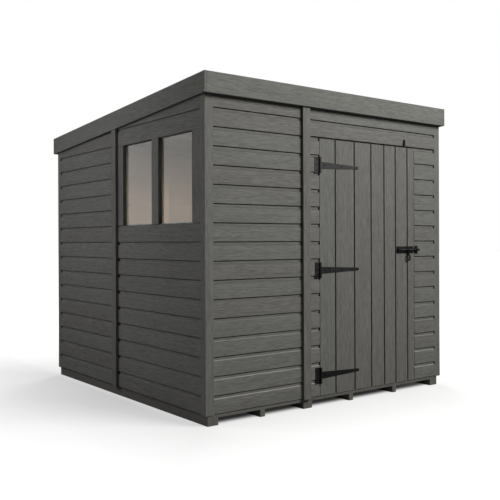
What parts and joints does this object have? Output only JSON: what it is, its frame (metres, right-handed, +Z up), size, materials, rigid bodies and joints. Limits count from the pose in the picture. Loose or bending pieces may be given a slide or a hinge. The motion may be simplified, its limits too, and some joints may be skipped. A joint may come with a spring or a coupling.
{
  "type": "pent garden shed",
  "caption": "Pent garden shed with dark stained shiplap panel walls, a fixed two-pane side window, and a boarded door with T-hinges, pad bolt and turn button",
  "frame": {"origin": "on the ground under the centre of the roof's outline", "axes": "+Z up; -Y is the front, with the door; -X is the side with the window"},
  "size_m": [2.178, 2.198, 2.065],
  "materials": {
    "stained_boards": "deep-grained boards in a matt dark grey-green stain",
    "bare_timber": "planed pale timber, unfinished",
    "bearer_timber": "rough sawn, dark treated",
    "roofing_felt": "mineral-faced bitumen felt, rough",
    "black_ironwork": "black japanned, satin",
    "glass": "clear flat glass"
  },
  "bodies": {
    "root": {"floor_bearers": "bearer_timber", "floor_panel_left": "bare_timber", "floor_panel_right": "bare_timber", "front_cladding_left": "stained_boards", "front_cladding_hinge_side": "stained_boards", "front_cladding_latch_side": "stained_boards", "front_cladding_over_door": "stained_boards", "front_cover_strip": "stained_boards", "left_cladding_below_window": "stained_boards", "left_cladding_above_window": "stained_boards", "left_cladding_rear": "stained_boards", "left_cover_strip": "stained_boards", "window_frame": "stained_boards", "window_panes": "glass", "right_cladding_front": "stained_boards", "right_cladding_rear": "stained_boards", "right_cover_strip": "stained_boards", "back_cladding_left": "stained_boards", "back_cladding_right": "stained_boards", "back_cover_strip": "stained_boards", "corner_trim_front_left": "stained_boards", "corner_trim_front_right": "stained_boards", "corner_trim_back_left": "stained_boards", "corner_trim_back_right": "stained_boards", "front_studs": "bare_timber", "back_studs": "bare_timber", "left_studs": "bare_timber", "right_studs": "bare_timber", "front_and_back_rails": "bare_timber", "side_rails": "bare_timber", "roof_purlins": "bare_timber", "roof_deck": "bare_timber", "roof_felt": "roofing_felt", "fascia_front": "stained_boards", "fascia_back": "stained_boards", "fascia_left": "stained_boards", "fascia_right": "stained_boards", "door_stops": "bare_timber", "hinge_flaps": "black_ironwork", "bolt_keep": "black_ironwork", "turn_button_pivot": "black_ironwork"},
    "door": {"door_leaf": "stained_boards", "door_ledges": "bare_timber", "door_braces": "bare_timber", "hinge_straps": "black_ironwork", "bolt_plate": "black_ironwork"},
    "bolt": {"bolt_bar": "black_ironwork"},
    "handle": {"bolt_handle": "black_ironwork"},
    "button": {"turn_button": "black_ironwork"}
  },
  "joints": [
    {"name": "door_swing", "type": "hinge", "parent": "root", "child": "door", "pos_m": [-0.16025, -1.073, 0.9], "axis": [0, 0, -1], "range_deg": [0, 160]},
    {"name": "bolt_slide", "type": "slide", "parent": "door", "child": "bolt", "axis": [1, 0, 0], "range_m": [0, 0.04]},
    {"name": "handle_lift", "type": "hinge", "parent": "bolt", "child": "handle", "pos_m": [0.7005, -1.079, 1.013], "axis": [-1, 0, 0], "range_deg": [0, 90]},
    {"name": "button_turn", "type": "hinge", "parent": "root", "child": "button", "pos_m": [0.666, -1.0725, 1.769], "axis": [0, 1, 0], "range_deg": [0, 180]}
  ]
}
